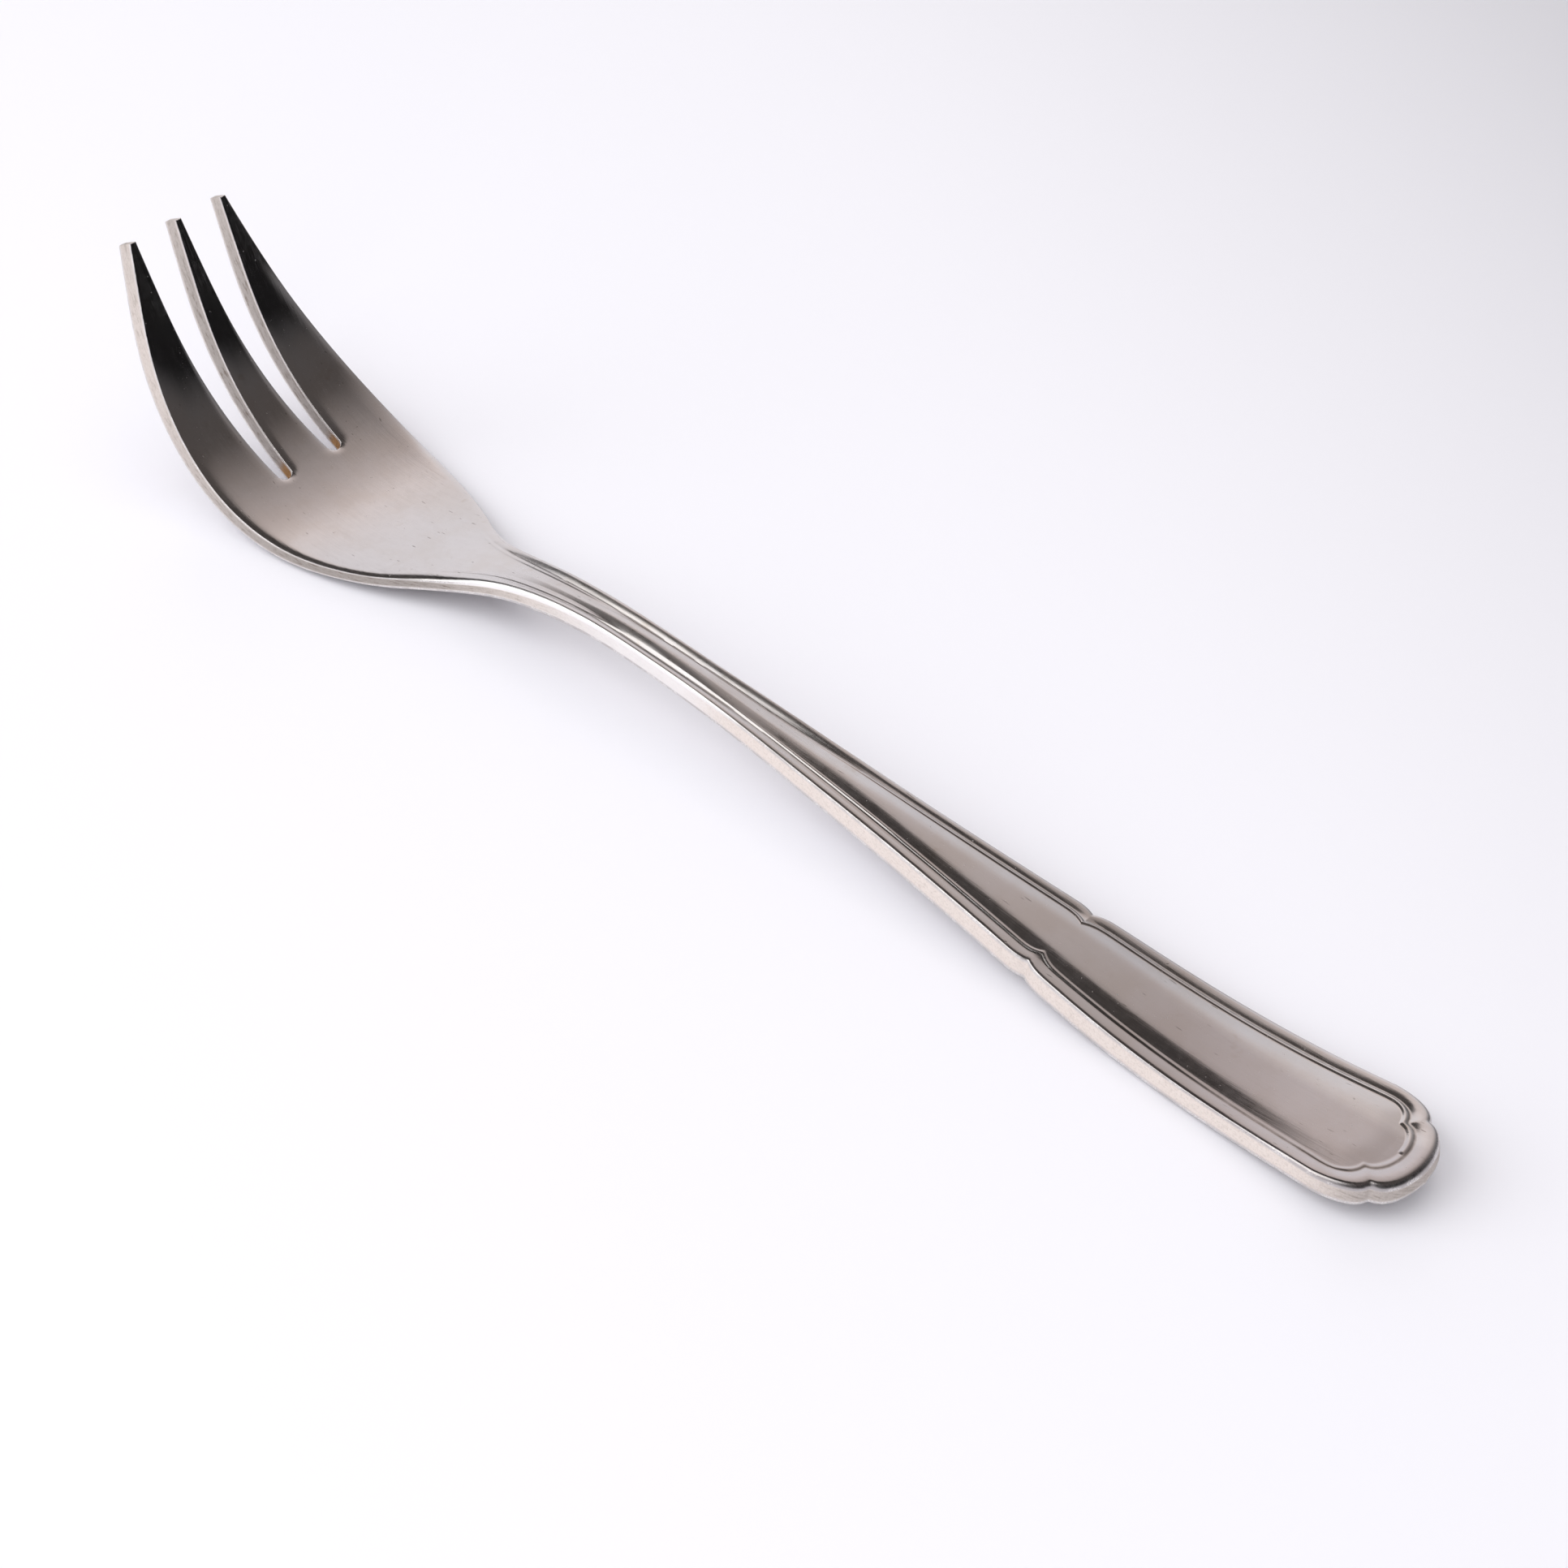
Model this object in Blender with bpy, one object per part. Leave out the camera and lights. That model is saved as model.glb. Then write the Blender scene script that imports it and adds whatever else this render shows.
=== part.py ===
# Oyster fork: one strip of metal, blanked, slotted, coined and bent.
# Metres, +Z up. The fork lies face up on Z = 0, with +X from the tine tips towards the handle's end.

import math

import bmesh
import bpy
import numpy as np

MM = 0.001

# Spans along the flat strip, one after the other from the tine tips
TIPS_TO_WIDEST = 26.7 * MM
WIDEST_TO_SHOULDER = 20.1 * MM
SHOULDER_TO_STEM = 12.7 * MM
STEM_TO_NECK = 17.7 * MM
NECK_TO_BREAK = 46.3 * MM
BREAK_TO_LOBE = 29.2 * MM
LOBE_LENGTH = 4.3 * MM
END_BULGE = 2.4 * MM

# Widths of the front face where those spans meet
TIP_SPAN = 11.7 * MM
BOWL_WIDTH = 21.0 * MM
SHOULDER_WIDTH = 11.5 * MM
STEM_WIDTH = 5.4 * MM
NECK_WIDTH = 4.2 * MM
BREAK_WIDTH = 8.8 * MM
HANDLE_WIDTH = 12.0 * MM
LOBE_WIDTH = 1.8 * MM

# Slopes of the outline there: half width gained per unit of length
TINE_FLARE = 0.235
SHOULDER_TAPER = -0.495
STEM_TAPER = -0.08
BREAK_FLARE = 0.092
HANDLE_FLARE = 0.07

# Tines and the two slots between them
SLOT_LENGTH = 27.3 * MM
SLOT_ROOT_WIDTH = 1.6 * MM
SLOT_ROOT_SPACING = 6.4 * MM
TINE_TIP_WIDTH = 0.65 * MM

# Thickness of the strip
TIP_THICKNESS = 2.2 * MM
TINE_THICKNESS = 2.5 * MM
BOWL_THICKNESS = 1.95 * MM
PALM_THICKNESS = 1.45 * MM
SHOULDER_THICKNESS = 1.35 * MM
STEM_THICKNESS = 1.75 * MM
BREAK_THICKNESS = 2.8 * MM
END_THICKNESS = 2.5 * MM
BACK_SPREAD = 0.1 * MM
BACK_CROWN = 0.25 * MM
BOWL_DISH = 0.6 * MM

# Coined border of the stem and handle: a rounded rim, a cove and a fine bead round a domed panel
BEAD_INSET = 1.42 * MM
END_NOTCH_RIM = 1.6 * MM
END_RIM = 2.3 * MM
BEAD_LOBE_LENGTH = 2.15 * MM
BREAK_RUN = 2.5 * MM
BREAK_NOTCH = 0.28 * MM
BREAK_CUSP = 0.5 * MM
RIM_HEIGHT = 0.12 * MM
COVE_DEPTH = 0.25 * MM
BEAD_HEIGHT = 0.15 * MM
PANEL_SLOPE = 0.21
PANEL_END_FALL = 4.0 * MM

# Arcs of the bent strip from the tine tips: length of each, and slope in degrees at its far end
TIP_SLOPE = -70.3
TINE_ARC = 8.0 * MM
TINE_SLOPE = -67.4
BOWL_ARC = 28.5 * MM
BELLY_SLOPE = 0.5
SHOULDER_ARC = 17.5 * MM
SHOULDER_SLOPE = 19.2
NECK_ARC = 19.0 * MM
NECK_SLOPE = -1.0
STEM_ARC = 19.0 * MM
STEM_SLOPE = -5.5
FALL_ARC = 36.0 * MM
FALL_SLOPE = -7.0
LIFT_ARC = 22.0 * MM
END_SLOPE = 6.5

# Flats worn on the belly and under the handle, where the fork rests
REST_WEAR = 0.08 * MM

# Stations that follow from the spans
WIDEST = TIPS_TO_WIDEST
SHOULDER = WIDEST + WIDEST_TO_SHOULDER
STEM = SHOULDER + SHOULDER_TO_STEM
NECK = STEM + STEM_TO_NECK
BREAK = NECK + NECK_TO_BREAK
LOBE = BREAK + BREAK_TO_LOBE
NOTCH = LOBE + LOBE_LENGTH
END = NOTCH + END_BULGE
NOTCH_HALF = HANDLE_WIDTH / 2 - LOBE_WIDTH
SLOT_RADIUS = SLOT_ROOT_WIDTH / 2
SLOT_CENTRE = SLOT_LENGTH - SLOT_RADIUS

# Columns of one half from the outline inwards. Place in the border: 0 at the outline and 1 at the bead.
# Place in the outer tine: 0 at the outline and 1 at the slot's side
BORDER_PLACES = np.array([0.0, 0.3, 0.85, 1.0, 1.15])
TINE_PLACES = np.array([0.0, 0.2, 0.45, 0.7, 0.88])
BORDER_HEIGHTS = np.array([0.0, RIM_HEIGHT, -COVE_DEPTH, BEAD_HEIGHT - COVE_DEPTH, -COVE_DEPTH])
# Columns inside the border. Place in the panel: 0 at its middle and 1 at its edge.
# Place in the slot: 1 at its outer side and -1 at its inner side
PANEL_PLACES = np.array([0.82, 0.72, 0.6, 0.48, 0.38, 0.0])
SLOT_PLACES = np.array([1.0, 0.7, 0.0, -0.7, -1.0])
BORDER_COLUMNS = len(BORDER_PLACES)
SLOT_COLUMNS = len(SLOT_PLACES)
HALF_COLUMNS = BORDER_COLUMNS + len(PANEL_PLACES)
COLUMNS = 2 * HALF_COLUMNS - 1

# Rows in each stretch of the strip
TINE_ROWS = 12
PALM_ROWS = 13
SHOULDER_ROWS = 7
STEM_ROWS = 6
SHANK_ROWS = 15
HANDLE_ROWS = 14
LOBE_ROWS = 5
BULGE_ROWS = 6
BREAK_STEPS = np.array([-1.0, -0.5, -0.2, 0.0, 0.2, 0.5, 1.0])


def clear_scene():
    for item in list(bpy.data.objects):
        bpy.data.objects.remove(item, do_unlink=True)


def smooth_step(start, stop, value):
    share = np.clip((value - start) / (stop - start), 0.0, 1.0)
    return share * share * (3.0 - 2.0 * share)


def hermite(stations, values, slopes, where):
    """Smooth curve through the stations with the given slopes."""
    index = np.clip(np.searchsorted(stations, where) - 1, 0, len(stations) - 2)
    run = stations[index + 1] - stations[index]
    t = np.clip((where - stations[index]) / run, 0.0, 1.0)
    from_value = (1 + 2 * t) * (1 - t) ** 2 * values[index]
    to_value = t * t * (3 - 2 * t) * values[index + 1]
    from_slope = t * (1 - t) ** 2 * run * slopes[index]
    to_slope = t * t * (t - 1) * run * slopes[index + 1]
    return from_value + to_value + from_slope + to_slope


def side_half_width(where):
    """Half width of the front face from the tine tips to the handle's corner lobes."""
    stations = np.array([0.0, WIDEST, SHOULDER, STEM, NECK, BREAK, LOBE])
    widths = np.array([TIP_SPAN, BOWL_WIDTH, SHOULDER_WIDTH, STEM_WIDTH, NECK_WIDTH, BREAK_WIDTH,
                       HANDLE_WIDTH])
    slopes = np.array([TINE_FLARE, 0.0, SHOULDER_TAPER, STEM_TAPER, 0.0, BREAK_FLARE, HANDLE_FLARE])
    return hermite(stations, widths / 2, slopes, where)


def thickness(where):
    stations = np.array([0.0, WIDEST / 2, WIDEST, (WIDEST + SHOULDER) / 2, SHOULDER, STEM, BREAK, END])
    values = np.array([TIP_THICKNESS, TINE_THICKNESS, BOWL_THICKNESS, PALM_THICKNESS, SHOULDER_THICKNESS,
                       STEM_THICKNESS, BREAK_THICKNESS, END_THICKNESS])
    slopes = np.gradient(values, stations)
    return hermite(stations, values, slopes, where)


def cusp(where, depth):
    """Inward cusp between two outward arcs at the handle's break."""
    return depth * np.clip(1.0 - np.abs(where - BREAK) / BREAK_RUN, 0.0, 1.0) ** 2


def bead_inset(half_width):
    """The two beads close up where the stem is narrow."""
    return BEAD_INSET * half_width / np.hypot(half_width, BEAD_INSET)


def end_curve(side_half, lobe_start, notch, notch_half, end):
    """Corner lobe and end bulge as two quarter ellipses that meet in a notch, as stations and half widths."""
    turn = np.linspace(0.0, math.pi / 2, LOBE_ROWS + 1)[1:]
    lobe_s = lobe_start + (notch - lobe_start) * np.sin(turn)
    lobe_y = notch_half + (side_half - notch_half) * np.cos(turn)
    turn = np.linspace(0.0, math.pi / 2, BULGE_ROWS + 1)[1:]
    bulge_s = notch + (end - notch) * np.sin(turn)
    bulge_y = notch_half * np.cos(turn)
    bulge_y[-1] = 0.0
    return np.concatenate([lobe_s, bulge_s]), np.concatenate([lobe_y, bulge_y])


def row_stations():
    """Stations of the rows along the sides, from the tine tips to the corner lobes."""
    steps = BREAK + BREAK_RUN * BREAK_STEPS
    stretches = [np.linspace(0.0, SLOT_CENTRE, TINE_ROWS + 1)[:-1],
                 np.linspace(SLOT_CENTRE, SHOULDER, PALM_ROWS + 1)[:-1],
                 np.linspace(SHOULDER, STEM, SHOULDER_ROWS + 1)[:-1],
                 np.linspace(STEM, NECK, STEM_ROWS + 1)[:-1],
                 np.linspace(NECK, steps[0], SHANK_ROWS + 1)[:-1],
                 steps]
    return np.concatenate(stretches), np.linspace(0.0, 1.0, HANDLE_ROWS + 1)[1:]


def master_curves():
    """The outline and the bead line, row by row: stations and half widths of both."""
    shank, handle = row_stations()
    last = shank[-1]
    outline_s = np.concatenate([shank, last + (LOBE - last) * handle])
    outline_y = side_half_width(outline_s)
    bead_notch = NOTCH - END_NOTCH_RIM
    bead_lobe = bead_notch - BEAD_LOBE_LENGTH
    bead_s = np.concatenate([shank, last + (bead_lobe - last) * handle])
    bead_y = side_half_width(bead_s)
    bead_y = bead_y - bead_inset(bead_y) - cusp(bead_s, BREAK_CUSP)
    outline_y = outline_y - cusp(outline_s, BREAK_NOTCH)
    bead_notch_half = NOTCH_HALF - bead_inset(NOTCH_HALF)
    end_s, end_y = end_curve(outline_y[-1], LOBE, NOTCH, NOTCH_HALF, END)
    bead_end = END - END_RIM
    bead_end_s, bead_end_y = end_curve(bead_y[-1], bead_lobe, bead_notch, bead_notch_half, bead_end)
    outline = np.concatenate([outline_s, end_s]), np.concatenate([outline_y, end_y])
    bead = np.concatenate([bead_s, bead_end_s]), np.concatenate([bead_y, bead_end_y])
    return outline, bead


def slot_sides(where):
    """Half widths to the outer and inner side of a slot. The sides run on from its root into the palm."""
    share = np.clip(where / SLOT_CENTRE, 0.0, 1.0)
    root = SLOT_ROOT_SPACING / 2
    outer = (1 - share) * (TIP_SPAN / 2 - TINE_TIP_WIDTH) + share * (root + SLOT_RADIUS)
    inner = (1 - share) * TINE_TIP_WIDTH / 2 + share * (root - SLOT_RADIUS)
    return outer, inner


def half_grid():
    """Stations, half widths and coined heights of the front face, for each row and each column of one half."""
    (outline_s, outline_y), (bead_s, bead_y) = master_curves()
    stations = outline_s[:, None] + BORDER_PLACES * (bead_s - outline_s)[:, None]
    widths = outline_y[:, None] + BORDER_PLACES * (bead_y - outline_y)[:, None]
    panel_s = np.repeat(stations[:, -1:], len(PANEL_PLACES), axis=1)
    handle_s = np.concatenate([stations, panel_s], axis=1)
    handle_y = np.concatenate([widths, widths[:, -1:] * PANEL_PLACES], axis=1)

    outer, inner = slot_sides(outline_s)
    middle = (outer + inner) / 2
    reach = (outer - inner) / 2
    tine_y = outline_y[:, None] + TINE_PLACES * (outer - outline_y)[:, None]
    slot_y = middle[:, None] + SLOT_PLACES * reach[:, None]
    palm_y = np.concatenate([tine_y, slot_y, np.zeros((len(outline_s), 1))], axis=1)
    bulge = SLOT_RADIUS * np.sqrt(1.0 - SLOT_PLACES ** 2)
    fade = np.clip(1.0 - (outline_s - SLOT_CENTRE) / (4 * SLOT_RADIUS), 0.0, 1.0)
    palm_s = np.repeat(outline_s[:, None], HALF_COLUMNS, axis=1)
    palm_s[:, BORDER_COLUMNS:BORDER_COLUMNS + SLOT_COLUMNS] += fade[:, None] * bulge

    palm = smooth_step(STEM, (WIDEST + SHOULDER) / 2, outline_s)[:, None]
    grid_s = palm * palm_s + (1 - palm) * handle_s
    grid_y = palm * palm_y + (1 - palm) * handle_y
    return grid_s, grid_y, coined_heights(grid_s, widths[:, -1], stations[-1, -1])


def coined_heights(grid_s, panel_half, panel_end):
    """Height of the coined border and of the domed panel, which fade out from the stem into the palm."""
    falling = np.clip((grid_s - panel_end) / PANEL_END_FALL + 1.0, 0.0, 1.0)
    rise = PANEL_SLOPE / 3 * panel_half[:, None] * (1 - PANEL_PLACES ** 3)
    panel = rise * (1 - falling[:, BORDER_COLUMNS:] ** 2) - COVE_DEPTH
    border = np.repeat(BORDER_HEIGHTS[None, :], len(grid_s), axis=0)
    relief = smooth_step(SHOULDER, STEM, grid_s)
    return relief * np.concatenate([border, panel], axis=1)


def dish(grid_s, grid_y):
    """The palm and tines sink a little towards the middle."""
    half = side_half_width(np.minimum(grid_s, LOBE))
    window = smooth_step(0.0, TIPS_TO_WIDEST / 2, grid_s) * smooth_step(STEM, WIDEST, grid_s)
    return -BOWL_DISH * window * (1 - np.clip(grid_y / half, 0.0, 1.0) ** 3)


def bend(stations, heights):
    """Carries flat stations and heights onto the bent strip, as X and Z."""
    lengths = np.array([TINE_ARC, BOWL_ARC, SHOULDER_ARC, NECK_ARC, STEM_ARC, FALL_ARC, LIFT_ARC])
    slopes = np.array([TIP_SLOPE, TINE_SLOPE, BELLY_SLOPE, SHOULDER_SLOPE, NECK_SLOPE, STEM_SLOPE,
                       FALL_SLOPE, END_SLOPE])
    joins = np.concatenate([[0.0], np.cumsum(lengths)])
    path = np.linspace(0.0, END, 2000)
    angle = np.radians(np.interp(path, joins, slopes))
    step = np.diff(path)
    path_x = np.concatenate([[0.0], np.cumsum(step * (np.cos(angle[1:]) + np.cos(angle[:-1])) / 2)])
    path_z = np.concatenate([[0.0], np.cumsum(step * (np.sin(angle[1:]) + np.sin(angle[:-1])) / 2)])
    at = np.interp(stations, path, angle)
    x = np.interp(stations, path, path_x) - heights * np.sin(at)
    z = np.interp(stations, path, path_z) + heights * np.cos(at)
    return x, z


def set_down(front, back, back_stations):
    """Turns the fork until belly and handle both touch Z = 0, wears the flats and centres it over the origin."""
    for _ in range(8):
        places = []
        for chosen in (back_stations < STEM, back_stations > NECK):
            zone = back[chosen]
            places.append(zone[np.argmin(zone[:, 2])])
        tilt = math.atan2(places[1][2] - places[0][2], places[1][0] - places[0][0])
        cosine = math.cos(tilt)
        sine = math.sin(tilt)
        turn = np.array([[cosine, 0.0, -sine], [0.0, 1.0, 0.0], [sine, 0.0, cosine]])
        front = front @ turn
        back = back @ turn
    floor = back[:, 2].min() + REST_WEAR
    both = np.concatenate([front, back])
    centre = (both[:, 0].min() + both[:, 0].max()) / 2
    shift = np.array([centre, 0.0, floor])
    front = front - shift
    back = back - shift
    back[:, 2] = np.maximum(back[:, 2], 0.0)
    return front, back


def surface_points():
    """Front and back points, row by row, each row from -Y to +Y."""
    grid_s, grid_y, coined = half_grid()
    sink = dish(grid_s, grid_y)
    outline_y = grid_y[:, :1]
    spread = BACK_SPREAD * grid_y / np.maximum(outline_y, BACK_SPREAD)
    across = grid_y / np.maximum(outline_y, BACK_SPREAD)
    lift = BACK_CROWN * across ** 2 * smooth_step(SHOULDER, STEM, grid_s)
    points = []
    sheets = ((sink + coined, grid_y), (sink + lift - thickness(grid_s), grid_y + spread))
    for heights, half_y in sheets:
        x, z = bend(grid_s, heights)
        side = np.stack([x, half_y, z], axis=-1)
        mirrored = side[:, -2::-1] * np.array([1.0, -1.0, 1.0])
        row = np.concatenate([side, mirrored], axis=1)[:, ::-1]
        points.append(row)
    full_s = np.concatenate([grid_s, grid_s[:, -2::-1]], axis=1)
    front, back = set_down(points[0].reshape(-1, 3), points[1].reshape(-1, 3), full_s.reshape(-1))
    return front.reshape(-1, COLUMNS, 3), back.reshape(-1, COLUMNS, 3)


def in_slot(row, column):
    """True for a cell of the grid that the slots leave open."""
    place = min(column, COLUMNS - 2 - column)
    return row < TINE_ROWS and BORDER_COLUMNS <= place < BORDER_COLUMNS + SLOT_COLUMNS - 1


def shared_place(row, column, last_row):
    """At the handle's end the two halves meet: both use one column, and the panel closes in one point."""
    if row < last_row:
        return row, column
    return row, min(column, COLUMNS - 1 - column, BORDER_COLUMNS - 1)


def add_sheet(mesh, points, flip):
    """Adds one face of the strip and returns its vertices by place in the grid."""
    rows = len(points)
    found = {}
    for row in range(rows - 1):
        for column in range(COLUMNS - 1):
            if in_slot(row, column):
                continue
            corners = []
            for place in ((row, column), (row + 1, column), (row + 1, column + 1), (row, column + 1)):
                key = shared_place(*place, rows - 1)
                if key not in found:
                    found[key] = mesh.verts.new(points[key])
                if found[key] not in corners:
                    corners.append(found[key])
            if len(corners) > 2:
                mesh.faces.new(corners[::-1] if flip else corners)
    return found


def add_walls(mesh, front, back):
    """Joins the open edges of the front sheet to the same edges of the back sheet."""
    partner = {front[key]: back[key] for key in front}
    rims = [edge for edge in mesh.edges if len(edge.link_faces) == 1 and edge.verts[0] in partner]
    for edge in rims:
        loop = edge.link_loops[0]
        first = loop.vert
        second = loop.link_loop_next.vert
        mesh.faces.new((second, first, partner[first], partner[second]))


def plated_metal():
    material = bpy.data.materials.new("plated_metal")
    material.use_nodes = True
    shader = material.node_tree.nodes["Principled BSDF"]
    shader.inputs["Base Color"].default_value = (0.60, 0.57, 0.54, 1.0)
    shader.inputs["Metallic"].default_value = 1.0
    shader.inputs["Roughness"].default_value = 0.3
    return material


def build_fork():
    front_points, back_points = surface_points()
    mesh = bmesh.new()
    front = add_sheet(mesh, front_points, False)
    back = add_sheet(mesh, back_points, True)
    add_walls(mesh, front, back)
    bmesh.ops.recalc_face_normals(mesh, faces=mesh.faces)
    data = bpy.data.meshes.new("fork")
    mesh.to_mesh(data)
    mesh.free()
    data.shade_smooth()
    data.set_sharp_from_angle(angle=math.radians(35))
    data.materials.append(plated_metal())
    fork = bpy.data.objects.new("fork", data)
    bpy.context.scene.collection.objects.link(fork)
    return fork


clear_scene()
build_fork()
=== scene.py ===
import math

import bpy
import numpy as np
from mathutils import Matrix, Vector


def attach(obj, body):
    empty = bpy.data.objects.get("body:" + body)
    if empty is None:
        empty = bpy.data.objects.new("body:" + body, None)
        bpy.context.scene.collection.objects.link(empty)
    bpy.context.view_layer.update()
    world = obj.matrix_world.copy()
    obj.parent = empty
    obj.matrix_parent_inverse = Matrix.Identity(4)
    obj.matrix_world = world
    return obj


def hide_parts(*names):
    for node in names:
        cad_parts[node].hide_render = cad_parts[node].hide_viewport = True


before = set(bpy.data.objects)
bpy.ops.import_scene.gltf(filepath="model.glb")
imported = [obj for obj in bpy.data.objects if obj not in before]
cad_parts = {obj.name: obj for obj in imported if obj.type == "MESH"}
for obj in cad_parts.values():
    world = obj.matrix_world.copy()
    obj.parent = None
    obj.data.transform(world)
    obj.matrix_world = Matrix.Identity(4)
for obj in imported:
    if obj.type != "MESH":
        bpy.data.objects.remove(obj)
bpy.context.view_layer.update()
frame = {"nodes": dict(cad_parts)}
print("frame loaded:", ", ".join(frame["nodes"]))

mm = 0.001


# the camera looks down the back axis at the target, lens given as pixels of a square picture
cameraView = {"target": (0.006571, 0.000585, 0.0), "azimuth": 42.4337, "elevation": 44.3414, "roll": 0.2632,
              "height": 0.18150, "lensPixels": 3565.0, "picturePixels": 1932.0, "sensor": 36.0,
              "clipStart": 0.01, "clipEnd": 20.0}


# place = target + back axis times height over the axis's own rise
def placeCamera(view):
    azimuth = math.radians(view["azimuth"])
    elevation = math.radians(view["elevation"])
    roll = math.radians(view["roll"])
    level = Vector((math.cos(azimuth), math.sin(azimuth), 0.0))
    back = Vector((math.sin(azimuth) * math.cos(elevation), -math.cos(azimuth) * math.cos(elevation),
                   math.sin(elevation)))
    rise = back.cross(level)
    right = level * math.cos(roll) + rise * math.sin(roll)
    up = back.cross(right)
    place = Vector(view["target"]) + back * (view["height"] / back.z)
    data = bpy.data.cameras.new("tableCamera")
    data.sensor_fit = "HORIZONTAL"
    data.sensor_width = view["sensor"]
    data.lens = view["sensor"] * view["lensPixels"] / view["picturePixels"]
    data.clip_start = view["clipStart"]
    data.clip_end = view["clipEnd"]
    camera = bpy.data.objects.new("tableCamera", data)
    bpy.context.scene.collection.objects.link(camera)
    turn = Matrix((right, up, back)).transposed().to_4x4()
    camera.matrix_world = Matrix.Translation(place) @ turn
    bpy.context.scene.camera = camera


placeCamera(cameraView)
print("camera placed")


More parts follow.
